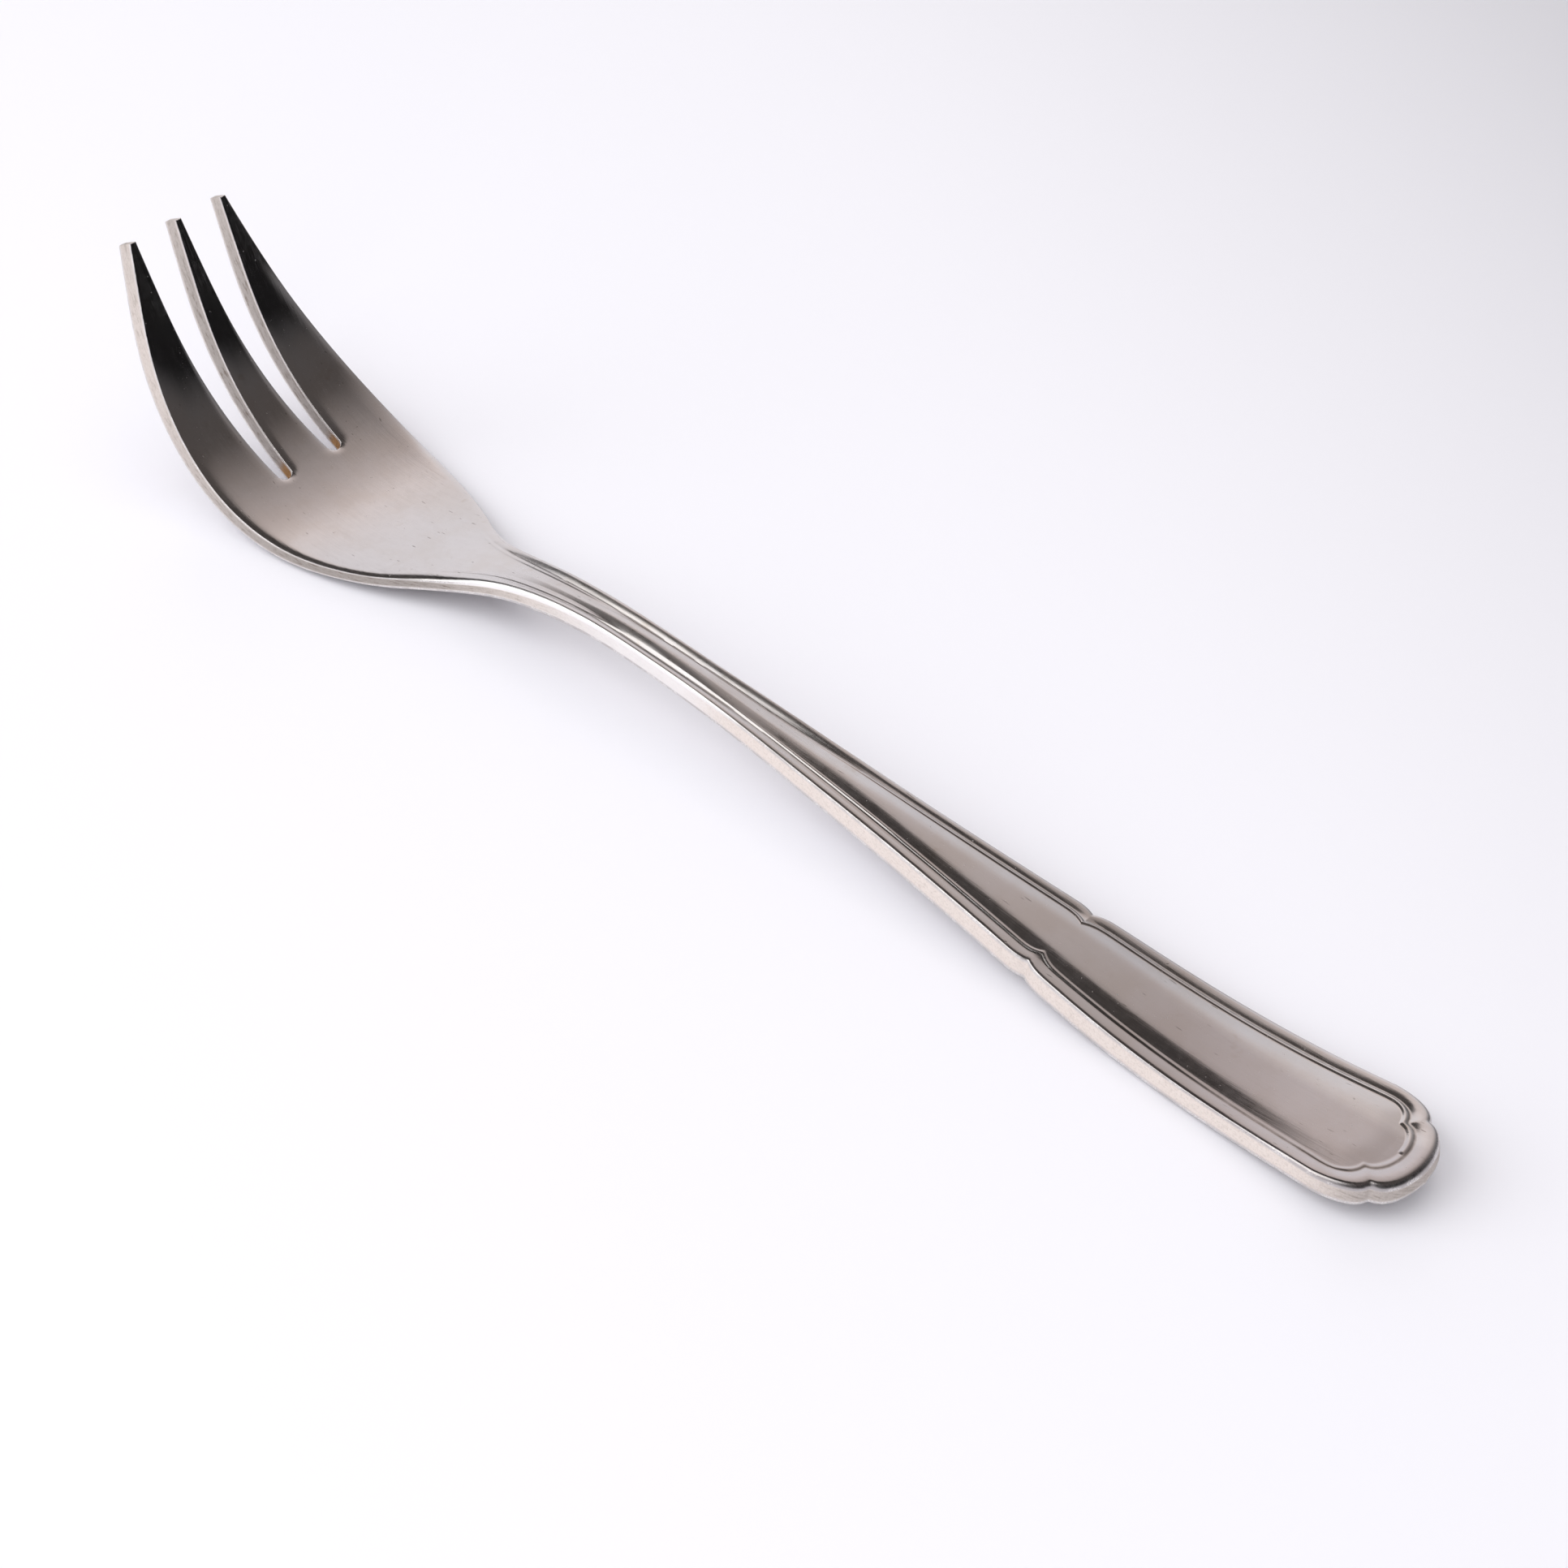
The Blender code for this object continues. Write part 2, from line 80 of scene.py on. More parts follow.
# the fork in millimetres and degrees, stations counted along the flat strip from the tine tips. A list of
# pairs gives (station, value), and an ease gives the stations or places where a change begins and ends
forkShape = {
    "widest": 26.7, "shoulder": 46.8, "stem": 59.5, "neck": 77.2, "breakAt": 123.5, "lobe": 152.7,
    "notch": 157.0, "end": 159.4,
    "tipSpan": 11.7, "bowlWidth": 21.0, "shoulderWidth": 11.5, "stemWidth": 5.4, "neckWidth": 4.2,
    "breakWidth": 8.8, "handleWidth": 12.0, "lobeWidth": 1.8,
    "tineFlare": 0.235, "shoulderTaper": -0.495, "stemTaper": -0.08, "breakFlare": 0.092, "handleFlare": 0.07,
    "slotLength": 27.3, "slotRootWidth": 1.6, "slotRootSpacing": 6.4, "tineTipWidth": 0.65,
    "thickness": ((0.0, 2.2), (13.35, 2.5), (26.7, 1.95), (36.75, 1.45), (46.8, 1.35), (59.5, 1.75),
                  (123.5, 2.8), (159.4, 2.5)),
    "backSpread": 0.1, "backCrown": 0.25, "bowlDish": 0.32,
    "borderWidth": ((0.0, 1.42), (112.0, 1.42), (135.0, 1.65), (159.4, 1.65)),
    "endNotchRim": 1.6, "endRim": 2.3, "beadLobe": 2.15,
    "breakRun": 2.5, "breakNotch": 0.42, "breakCusp": 0.58, "nearNotchShift": -0.7, "nearCuspShift": -0.25,
    # coined border, struck a little deeper on the far side of the handle. Places in the border run from 0 at
    # the outline to 1 at the bead line
    "farRimFall": ((46.0, 0.02), (50.0, 0.1), (56.0, 0.24), (62.0, 0.36), (68.0, 0.35), (75.0, 0.32),
                   (82.0, 0.29), (90.0, 0.38), (100.0, 0.19), (110.0, 0.14), (159.4, 0.17)),
    "nearRimFall": ((46.0, 0.02), (56.0, 0.1), (62.0, 0.32), (68.0, 0.35), (75.0, 0.32), (82.0, 0.27),
                    (90.0, 0.24), (100.0, 0.12), (110.0, 0.08), (159.4, 0.08)),
    "farRimRoll": ((46.0, 0.09), (66.0, 0.09), (76.0, 0.02), (95.0, 0.02), (105.0, 0.09), (159.4, 0.09)),
    "nearRimRoll": ((46.0, 0.09), (159.4, 0.09)), "rimRollWidth": 0.48,
    "rimCrest": ((46.0, 0.22), (68.0, 0.26), (76.0, 0.15), (90.0, 0.08), (105.0, 0.2), (120.0, 0.14),
                 (159.4, 0.14)),
    "grooveAt": ((46.0, 0.8), (62.0, 0.8), (68.0, 0.93), (75.0, 0.85), (90.0, 0.88), (105.0, 0.78),
                 (159.4, 0.78)),
    "farBead": ((46.0, 0.02), (62.0, 0.05), (68.0, 0.04), (74.0, 0.0), (80.0, 0.0), (90.0, 0.05),
                (112.0, 0.13), (159.4, 0.13)),
    "nearBead": ((46.0, 0.02), (62.0, 0.05), (68.0, 0.04), (74.0, 0.0), (80.0, 0.0), (90.0, 0.05),
                 (105.0, 0.05), (140.0, 0.05), (147.0, 0.025), (153.0, 0.05), (159.4, 0.05)),
    "farBeadEnd": ((46.0, 1.15), (159.4, 1.15)),
    "nearBeadEnd": ((46.0, 1.15), (100.0, 1.15), (118.0, 1.07), (159.4, 1.07)),
    "farBeadWidth": 0.17, "nearBeadWidth": 0.14,
    "footLineAt": 0.84, "footLineWidth": 0.05, "footLineEase": (80.0, 100.0),
    "endCrown": 0.06, "crownAt": 0.45, "crownWidth": 0.5, "endEase": (151.0, 156.5),
    # panel with its sloping band. The relief of border and panel begins in the palm
    "slopeFrom": 2.3, "slopeTo": 0.9, "endSlope": 0.7, "endGap": 0.2, "endJoin": 4.0,
    "endReach": (-3.0, 30.0),
    "panelSlope": ((46.0, 0.0), (56.0, 0.06), (62.0, 0.15), (68.0, 0.19), (74.0, 0.05), (80.0, 0.07),
                   (90.0, 0.19), (100.0, 0.27), (112.0, 0.22), (132.0, 0.22), (140.0, 0.185), (148.0, 0.135),
                   (153.0, 0.11), (159.4, 0.11)),
    "panelInset": ((46.0, 0.45), (66.0, 0.45), (76.0, 0.0), (159.4, 0.0)),
    "ridgeRound": ((46.0, 0.15), (105.0, 0.15), (120.0, 0.35), (159.4, 0.35)),
    "reliefEase": (45.5, 51.0),
    # the neck is thicker and narrower, its middle rises to a rib that runs out as the panel's slight crown,
    # and its border widens towards the palm
    "rib": ((46.0, 0.0), (62.0, 0.02), (67.0, 0.06), (70.0, 0.2), (72.0, 0.28), (75.0, 0.34), (79.0, 0.22),
            (84.0, 0.08), (92.0, 0.03), (105.0, 0.05), (120.0, 0.08), (150.0, 0.08), (156.0, 0.0)),
    "ribSpread": 0.12,
    "neckStep": ((46.0, 0.0), (66.0, 0.0), (72.0, 0.04), (82.0, 0.14), (90.0, 0.07), (100.0, 0.0)),
    "stepEase": (0.86, 1.14),
    "neckLift": ((44.0, 0.0), (50.0, 0.18), (56.0, 0.31), (62.0, 0.33), (68.0, 0.25), (75.0, 0.15),
                 (85.0, 0.08), (95.0, 0.0)),
    "neckNarrow": 0.13, "neckStart": (50.0, 60.0), "neckStop": (100.0, 84.0),
    "neckBorder": 0.16, "borderWiden": (75.0, 57.0),
    # slope of the strip at the joins of its bends
    "bend": ((0.0, -70.3), (8.0, -67.4), (36.5, 0.5), (54.0, 19.2), (73.0, -1.0), (92.0, -5.5),
             (128.0, -7.0), (150.0, 6.5)),
    "bendBlend": 6.0, "pathStart": -1.0, "pathSteps": 4001,
    # radius of the worn edge along the front and along the back
    "frontEdge": ((0.0, 0.10), (26.7, 0.08), (48.0, 0.09), (52.0, 0.22), (58.0, 0.36), (68.0, 0.26),
                  (76.0, 0.18), (82.0, 0.19), (88.0, 0.12), (102.0, 0.12), (123.5, 0.14), (150.0, 0.2),
                  (157.0, 0.42), (159.4, 0.55)),
    "edgeLimit": 0.65,
    "backEdge": ((0.0, 0.12), (26.7, 0.2), (46.8, 0.3), (66.0, 0.5), (100.0, 0.4), (159.4, 0.5)),
    "slotEdge": 0.08, "slotBackEdge": 0.12, "tipEdge": 0.05, "tipBackEdge": 0.12,
    "tipReach": 0.25, "tipRun": 6.0,
    # faces rolled off by polishing towards the outline and the slots
    "rollDepth": ((0.0, 0.03), (8.0, 0.2), (20.0, 0.22), (32.0, 0.2), (44.0, 0.18), (50.0, 0.25), (56.0, 0.1),
                  (62.0, 0.0)),
    "rollWidth": ((0.0, 0.5), (8.0, 1.8), (20.0, 2.0), (32.0, 0.9), (44.0, 0.8), (50.0, 1.3), (56.0, 0.7),
                  (62.0, 0.7)),
    "slotRoll": ((0.0, 0.0), (10.0, 0.02), (20.0, 0.12), (28.0, 0.12), (40.0, 0.0)), "slotRollWidth": 0.8,
    # where the tips' front face sits in the frame, and the small turn that sets belly and handle down
    "tipX": -72.7407, "tipZ": 24.0595, "restTurn": -0.2558,
    # painted shade on the sheared wall, as its tone along the strip and in the slots, darkest round the palm,
    # and the stain in the slots' roots
    "paintedWallTone": ((0.0, 0.75), (12.0, 0.82), (22.0, 0.67), (30.0, 0.55), (37.0, 0.49), (50.0, 0.55),
                 (62.0, 0.84), (90.0, 0.98), (118.0, 0.98), (151.0, 0.98), (154.0, 0.88), (156.5, 0.7),
                 (159.4, 0.68)),
    "paintedSlotTone": ((0.0, 0.64), (10.0, 0.54), (20.0, 0.48), (30.0, 0.48)),
    "rootFrom": 1.6, "rootFull": 0.4, "onSlot": 0.01,
    # rows and columns of the grid, how far the border's columns reach, and where the bowl's columns ease into
    # the handle's
    "rows": {"tine": 64, "palm": 56, "shoulder": 26, "stem": 34, "shank": 76, "breakAt": 25, "handle": 46,
             "lobe": 20, "bulge": 28, "wall": 5},
    "columns": {"border": 16, "panel": 24, "tine": 11, "slot": 13, "middle": 6},
    "railReach": 1.15, "palmEase": (50.0, 29.0),
    # how rows crowd together, slot radii over which a round root fades out of the grid, and the rows that
    # soften the notch
    "tineCrowd": 1.6, "palmCrowd": 1.5, "breakCrowd": 1.5, "rootFade": 4.0, "notchPasses": 3, "notchReach": 6,
    "sharpAngle": 50.0,
    # back and wall lie apart from the front in the strip's map
    "mapApart": 40.0, "mapWall": 2.0,
}
slotRadius = forkShape["slotRootWidth"] / 2
slotCentre = forkShape["slotLength"] - slotRadius
edgeShare = 1.0 - np.cos(np.radians([0, 15, 30, 45, 60, 75, 90]))  # steps round a worn edge
slotEdgeShare = edgeShare[1:6]
# columns at which the border's rails end and between which a slot lies
railLast = len(edgeShare) + forkShape["columns"]["border"] - 1
slotFirst = len(edgeShare) + forkShape["columns"]["tine"] + len(slotEdgeShare)
slotLast = slotFirst + forkShape["columns"]["slot"] - 1


# eased step from 0 to 1: 3t^2 - 2t^3
def smoothStep(start, stop, value):
    share = np.clip((value - start) / (stop - start), 0.0, 1.0)
    return share * share * (3.0 - 2.0 * share)


# cubic through each pair of stations with the given end slopes
def hermite(stations, values, slopes, where):
    index = np.clip(np.searchsorted(stations, where) - 1, 0, len(stations) - 2)
    run = stations[index + 1] - stations[index]
    t = np.clip((where - stations[index]) / run, 0.0, 1.0)
    return ((1 + 2 * t) * (1 - t) ** 2 * values[index] + t * t * (3 - 2 * t) * values[index + 1]
            + t * (1 - t) ** 2 * run * slopes[index] + t * t * (t - 1) * run * slopes[index + 1])


# smooth curve through a list of (station, value)
def alongStrip(name, where):
    stations, values = np.array(forkShape[name]).T
    return hermite(stations, values, np.gradient(values, stations), where)


# 1 at the edge and 0 a width away from it, by (1 - distance / width) squared
def fadeOff(away, width):
    return np.clip(1.0 - away / width, 0.0, 1.0) ** 2


# half width of the front face up to the corner lobes
def sideHalf(where):
    f = forkShape
    stations = np.array([0.0, f["widest"], f["shoulder"], f["stem"], f["neck"], f["breakAt"], f["lobe"]])
    widths = np.array([f["tipSpan"], f["bowlWidth"], f["shoulderWidth"], f["stemWidth"], f["neckWidth"],
                       f["breakWidth"], f["handleWidth"]])
    slopes = np.array([f["tineFlare"], 0.0, f["shoulderTaper"], f["stemTaper"], 0.0, f["breakFlare"],
                       f["handleFlare"]])
    return hermite(stations, widths / 2, slopes, where)


# inward point between two outward arcs: depth times (1 - distance / run) to the third
def cusp(where, depth, shift):
    away = np.abs(where - forkShape["breakAt"] - shift) / forkShape["breakRun"]
    return depth * np.clip(1.0 - away, 0.0, 1.0) ** 3


# half width of the struck blank: the neck is squeezed narrower and thicker
def struckHalf(where):
    f = forkShape
    neckShare = smoothStep(*f["neckStart"], where) * smoothStep(*f["neckStop"], where)
    return sideHalf(np.minimum(where, f["lobe"])) - f["neckNarrow"] * neckShare


# bead's distance from the outline, less where the strip is narrow and more towards the palm
def beadInset(half, where):
    width = alongStrip("borderWidth", where)
    inset = width * half / np.hypot(half, width)
    return inset * (1.0 + forkShape["neckBorder"] * smoothStep(*forkShape["borderWiden"], where))


# corner lobe and end bulge: two quarter ellipses that meet in a notch
def endCurve(sideWidth, lobeStart, notch, notchHalf, end):
    turn = np.linspace(0.0, math.pi / 2, forkShape["rows"]["lobe"] + 1)[1:]
    lobeS = lobeStart + (notch - lobeStart) * np.sin(turn)
    lobeY = notchHalf + (sideWidth - notchHalf) * np.cos(turn)
    turn = np.linspace(0.0, math.pi / 2, forkShape["rows"]["bulge"] + 1)[1:]
    bulgeS = notch + (end - notch) * np.sin(turn)
    bulgeY = notchHalf * np.cos(turn)
    bulgeY[-1] = 0.0
    return np.concatenate([lobeS, bulgeS]), np.concatenate([lobeY, bulgeY])


# averages each row near the notch with its neighbours, (before + 2 here + after) / 4, so that the notch isn't
# knife sharp
def softenNotch(line):
    notch = len(line) - forkShape["rows"]["bulge"] - 1
    first = notch - forkShape["notchReach"]
    stop = notch + forkShape["notchReach"] + 1
    for _ in range(forkShape["notchPasses"]):
        line[first:stop] = (line[first - 1:stop - 1] + 2 * line[first:stop] + line[first + 1:stop + 1]) / 4
    return line


# rows of the grid: close together at the tips, slot roots and break, even elsewhere
def rowStations():
    f = forkShape
    rows = f["rows"]

    def spaced(start, stop, count, power=1.0):  # even for a power of 1, closer at the start above it
        return start + (stop - start) * (np.arange(count) / count) ** power

    across = np.linspace(-1.0, 1.0, rows["breakAt"])
    breakRows = f["breakAt"] + f["breakRun"] * np.sign(across) * np.abs(across) ** f["breakCrowd"]
    return np.concatenate([spaced(0.0, slotCentre, rows["tine"], f["tineCrowd"]),
                           spaced(slotCentre, f["shoulder"], rows["palm"], f["palmCrowd"]),
                           spaced(f["shoulder"], f["stem"], rows["shoulder"]),
                           spaced(f["stem"], f["neck"], rows["stem"]),
                           spaced(f["neck"], breakRows[0], rows["shank"]),
                           breakRows])


# outline and bead line row by row, as stations and half widths. The blank's notch on the near side sits a
# little nearer the tines than the coined cusp
def outlineAndBead(nearSide):
    f = forkShape
    notchShift = f["nearNotchShift"] if nearSide else 0.0
    cuspShift = f["nearCuspShift"] if nearSide else 0.0
    shank = rowStations()
    last = shank[-1]
    handle = np.arange(1, f["rows"]["handle"] + 1) / f["rows"]["handle"]
    notchHalf = f["handleWidth"] / 2 - f["lobeWidth"]
    beadNotch = f["notch"] - f["endNotchRim"]
    beadLobe = beadNotch - f["beadLobe"]
    outS = np.concatenate([shank, last + (f["lobe"] - last) * handle])
    outY = struckHalf(outS) - cusp(outS, f["breakNotch"], notchShift)
    beadS = np.concatenate([shank, last + (beadLobe - last) * handle])
    beadY = struckHalf(beadS)
    beadY = beadY - beadInset(beadY, beadS) - cusp(beadS, f["breakCusp"], cuspShift)
    endS, endY = endCurve(outY[-1], f["lobe"], f["notch"], notchHalf, f["end"])
    beadEndS, beadEndY = endCurve(beadY[-1], beadLobe, beadNotch, notchHalf - beadInset(notchHalf, beadLobe),
                                  f["end"] - f["endRim"])
    return (softenNotch(np.concatenate([outS, endS])), softenNotch(np.concatenate([outY, endY])),
            softenNotch(np.concatenate([beadS, beadEndS])), softenNotch(np.concatenate([beadY, beadEndY])))


# outer and inner half width of a slot, straight from the tips to the centre of its round root
def slotSides(where):
    f = forkShape
    share = np.clip(where / slotCentre, 0.0, 1.0)
    root = f["slotRootSpacing"] / 2
    outer = (1 - share) * (f["tipSpan"] / 2 - f["tineTipWidth"]) + share * (root + slotRadius)
    inner = (1 - share) * f["tineTipWidth"] / 2 + share * (root - slotRadius)
    return outer, inner


# flat grid of one half from the outline to the middle line: stations, half widths, place in the border,
# distance from the outline, edge radius and half width of the outline. The handle's rails follow the bead and
# the bowl's columns follow the slots, and one eases into the other over the palm
def halfGrid(nearSide):
    f = forkShape
    columns = f["columns"]
    outS, outY, beadS, beadY = outlineAndBead(nearSide)
    gap = np.hypot(beadS - outS, beadY - outY)
    edge = np.minimum(alongStrip("frontEdge", outS), f["edgeLimit"] * gap)
    borderShare = np.arange(1, columns["border"] + 1) / columns["border"]
    inset = np.concatenate([edge[:, None] * edgeShare,
                            edge[:, None] + (f["railReach"] * gap - edge)[:, None] * borderShare], axis=1)
    place = inset / gap[:, None]
    railS = outS[:, None] + place * (beadS - outS)[:, None]
    railY = outY[:, None] + place * (beadY - outY)[:, None]
    panelPlace = 1.0 - np.arange(1, columns["panel"] + 1) / columns["panel"]
    handleS = np.concatenate([railS, np.repeat(railS[:, -1:], columns["panel"], axis=1)], axis=1)
    handleY = np.concatenate([railY, railY[:, -1:] * panelPlace], axis=1)
    handleIn = np.concatenate([inset, inset[:, -1:] + railY[:, -1:] * (1 - panelPlace)], axis=1)

    outer, inner = slotSides(outS)
    lean = np.hypot(1.0, np.gradient(sideHalf(outS), outS))
    slotEdge = f["slotEdge"]
    start = outY - edge * lean
    tineShare = np.arange(1, columns["tine"] + 1) / columns["tine"]
    middleShare = np.arange(columns["middle"]) / (columns["middle"] - 1)
    slotPlace = np.cos(np.linspace(0.0, math.pi, columns["slot"]))
    bowlY = np.concatenate([outY[:, None] - (edge * lean)[:, None] * edgeShare,
                            start[:, None] + (outer + slotEdge - start)[:, None] * tineShare,
                            outer[:, None] + slotEdge * slotEdgeShare[::-1],
                            (outer + inner)[:, None] / 2 + (outer - inner)[:, None] / 2 * slotPlace,
                            inner[:, None] - slotEdge * slotEdgeShare,
                            (inner - slotEdge)[:, None] * (1.0 - middleShare)], axis=1)
    fade = np.clip(1.0 - (outS - slotCentre) / (f["rootFade"] * slotRadius), 0.0, 1.0)
    bowlS = np.repeat(outS[:, None], bowlY.shape[1], axis=1)
    bowlS[:, slotFirst:slotLast + 1] += fade[:, None] * slotRadius * np.sqrt(1.0 - slotPlace ** 2)
    bowlIn = (outY[:, None] - bowlY) / lean[:, None]

    palm = smoothStep(*f["palmEase"], outS)[:, None]
    gridS = palm * bowlS + (1 - palm) * handleS
    gridY = palm * bowlY + (1 - palm) * handleY
    away = palm * bowlIn + (1 - palm) * handleIn
    border = np.concatenate([place, np.repeat(place[:, -1:], columns["panel"], axis=1)], axis=1)
    border = np.where(palm > 0.0, away / gap[:, None], border)
    return gridS, gridY, border, away, edge[:, None], outY[:, None]


# distance from the nearer slot: beside its straight sides, or round its root
def slotDistance(gridS, gridY):
    outer, inner = slotSides(gridS)
    beside = np.abs(gridY - (outer + inner) / 2) - (outer - inner) / 2
    root = np.hypot(gridS - slotCentre, gridY - forkShape["slotRootSpacing"] / 2) - slotRadius
    return np.where(gridS > slotCentre, root, beside)


# fall of a rounded edge: radius - sqrt(radius^2 - (radius - distance)^2), corners joined by their root
# of squares. Also gives how near the edge is, 0 on the face and 1 at its foot
def roundedFall(edges):
    near = [np.clip(1.0 - distance / radius, 0.0, 1.0) for distance, radius in edges]
    total = sum(n * n for n in near)
    radius = sum(n * n * r for n, (d, r) in zip(near, edges)) / np.maximum(total, 1e-9)
    reach = np.sqrt(np.minimum(total, 1.0))
    return radius * (1.0 - np.sqrt(1.0 - reach * reach)), reach


# rounded ridge of height 1 at 0 that ends at -1 and 1: (1 - t^2) squared
def ridge(t):
    return np.clip(1.0 - t * t, 0.0, 1.0) ** 2


# where the panel begins, as a half width
def panelEdge(where):
    side = struckHalf(where)
    return side - beadInset(side, where)


# coined border: the rim rolls off outwards and falls inwards by t squared to a groove, then comes a half
# round bead. The two sides fall by different depths, which even out towards the middle of the panel
def borderHeight(side, gridS, gridY, border, away):
    f = forkShape
    end = smoothStep(*f["endEase"], gridS)
    fall = alongStrip(side + "RimFall", gridS)
    middle = (alongStrip("farRimFall", gridS) + alongStrip("nearRimFall", gridS)) / 2
    fall = fall + (middle - fall) * np.clip(1.0 - gridY / panelEdge(gridS), 0.0, 1.0)
    crest = alongStrip("rimCrest", gridS)
    t = np.clip((border - crest) / (alongStrip("grooveAt", gridS) - crest), 0.0, 1.0)
    bead = (border - alongStrip(side + "BeadEnd", gridS)) / f[side + "BeadWidth"] + 1.0
    return (f["endCrown"] * end * ridge((border - f["crownAt"]) / f["crownWidth"]) - fall * t * t
            - alongStrip(side + "RimRoll", gridS) * fadeOff(away, f["rimRollWidth"])
            + alongStrip(side + "Bead", gridS) * ridge(bead))


# panel: flat top with a sloping band along its sides and end. The slope is summed over the distance from
# the panel's edge, and sides and end join as a soft minimum. A rib, 1 - t^2, and in the neck a step lift it
def panelHeight(gridS, gridY, border):
    f = forkShape
    join = f["endJoin"]
    panelHalf = panelEdge(gridS)
    sideAway = panelHalf - alongStrip("panelInset", gridS) - np.hypot(gridY, alongStrip("ridgeRound", gridS))
    beadNotch = f["notch"] - f["endNotchRim"]
    bulge = f["end"] - f["endRim"] - beadNotch
    endAway = beadNotch + bulge * ridge(gridY / panelHalf) - f["endGap"] - gridS
    endAway = f["endSlope"] * np.clip(endAway, *f["endReach"])
    away = np.maximum(-np.log(np.exp(-join * sideAway) + np.exp(-join * endAway)) / join, 0.0)
    span = f["slopeFrom"] - f["slopeTo"]
    t = np.clip((away - f["slopeTo"]) / span, 0.0, 1.0)
    past = np.maximum(away - f["slopeFrom"], 0.0)
    rib = np.clip(1.0 - (gridY / (panelHalf + f["ribSpread"])) ** 2, 0.0, 1.0)
    return (alongStrip("panelSlope", gridS) * (away - span * (t ** 3 - t ** 4 / 2) - past)
            + alongStrip("rib", gridS) * rib
            + alongStrip("neckStep", gridS) * smoothStep(*f["stepEase"], border))


# palm and tines sink towards the middle by depth times (1 - (y / half width)^3)
def dish(gridS, gridY):
    f = forkShape
    half = sideHalf(np.minimum(gridS, f["lobe"]))
    window = smoothStep(0.0, f["widest"], gridS) * smoothStep(f["stem"], f["widest"], gridS)
    return -f["bowlDish"] * window * (1.0 - np.clip(gridY / half, 0.0, 1.0) ** 3)


# carries the flat strip onto its bends: the slope is summed along the strip, heights stand off it
def bendStrip(gridS, gridY, height):
    f = forkShape
    joins, slopes = np.array(f["bend"]).T
    path = np.linspace(f["pathStart"], f["end"], f["pathSteps"])
    step = path[1] - path[0]
    angle = np.radians(np.interp(path, joins, slopes))
    count = int(f["bendBlend"] / step) // 2 * 2 + 1
    padded = np.pad(angle, count // 2, mode="edge")
    angle = np.convolve(padded, np.ones(count) / count, mode="valid")

    def summed(rate):  # running sum from the tips, by the mean of each step's two ends
        total = np.concatenate([[0.0], np.cumsum((rate[1:] + rate[:-1]) / 2) * step])
        return total - np.interp(0.0, path, total)

    at = np.interp(gridS, path, angle)
    x = np.interp(gridS, path, summed(np.cos(angle))) - height * np.sin(at)
    z = np.interp(gridS, path, summed(np.sin(angle))) + height * np.cos(at)
    turn = math.radians(f["restTurn"])
    restX = x * math.cos(turn) + z * math.sin(turn) + f["tipX"]
    restZ = z * math.cos(turn) - x * math.sin(turn) + f["tipZ"]
    return np.stack([restX, gridY, restZ], axis=-1)


# joins the far half and the mirrored near half along the middle line
def bothHalves(far, near, sign=1.0):
    return np.concatenate([far, sign * near[:, -2::-1]], axis=1)


# heights of the front and back of one half, with what the finish reads: nearness of an edge, distance
# from a slot and a darker line at the foot of the bead
def halfHeights(side, gridS, gridY, border, away, edge, outY):
    f = forkShape
    slotAway = np.maximum(slotDistance(gridS, gridY), 0.0)
    sink = dish(gridS, gridY)
    fall, near = roundedFall([(away, edge), (slotAway, f["slotEdge"]), (gridS, f["tipEdge"])])
    roll = alongStrip("rollDepth", gridS) * fadeOff(away, alongStrip("rollWidth", gridS))
    slotRoll = alongStrip("slotRoll", gridS) * fadeOff(slotAway, f["slotRollWidth"])
    relief = smoothStep(*f["reliefEase"], gridS)
    coined = relief * (borderHeight(side, gridS, gridY, border, away) + panelHeight(gridS, gridY, border))
    coined = coined + alongStrip("neckLift", gridS)
    across = gridY / np.maximum(outY, f["backSpread"])
    lift = f["backCrown"] * across ** 2 * smoothStep(f["shoulder"], f["stem"], gridS)
    backFall, backNear = roundedFall([(away, alongStrip("backEdge", gridS)), (slotAway, f["slotBackEdge"]),
                                      (gridS, f["tipBackEdge"])])
    backHeight = sink + lift - alongStrip("thickness", gridS) + backFall
    backY = gridY + f["backSpread"] * across
    # a darker line along the foot of the bead, from station 80 on
    footLine = np.exp(-((border - f["footLineAt"]) / f["footLineWidth"]) ** 2) * smoothStep(*f["footLineEase"], gridS)
    return sink + coined - fall - roll - slotRoll, backHeight, backY, near, backNear, slotAway, footLine


# front and back sheets of the whole fork. The tips' front face reaches past the back by t squared
def forkSheets():
    f = forkShape
    grids = [halfGrid(nearSide) for nearSide in (False, True)]
    heights = [halfHeights(side, *grid) for side, grid in zip(("far", "near"), grids)]
    fullS = bothHalves(grids[0][0], grids[1][0])
    fullY = bothHalves(grids[0][1], grids[1][1], -1.0)
    frontHeight, backHeight, backY, near, backNear, slotAway, footLine = zip(*heights)
    reach = f["tipReach"] * fadeOff(fullS, f["tipRun"])
    front = bendStrip(fullS - reach, fullY, bothHalves(*frontHeight))
    back = bendStrip(fullS, bothHalves(*backY, -1.0), bothHalves(*backHeight))
    back[..., 2] = np.maximum(back[..., 2], 0.0)
    return (front, back, fullS, fullY, bothHalves(*near), bothHalves(*backNear), bothHalves(*slotAway),
            bothHalves(*footLine))


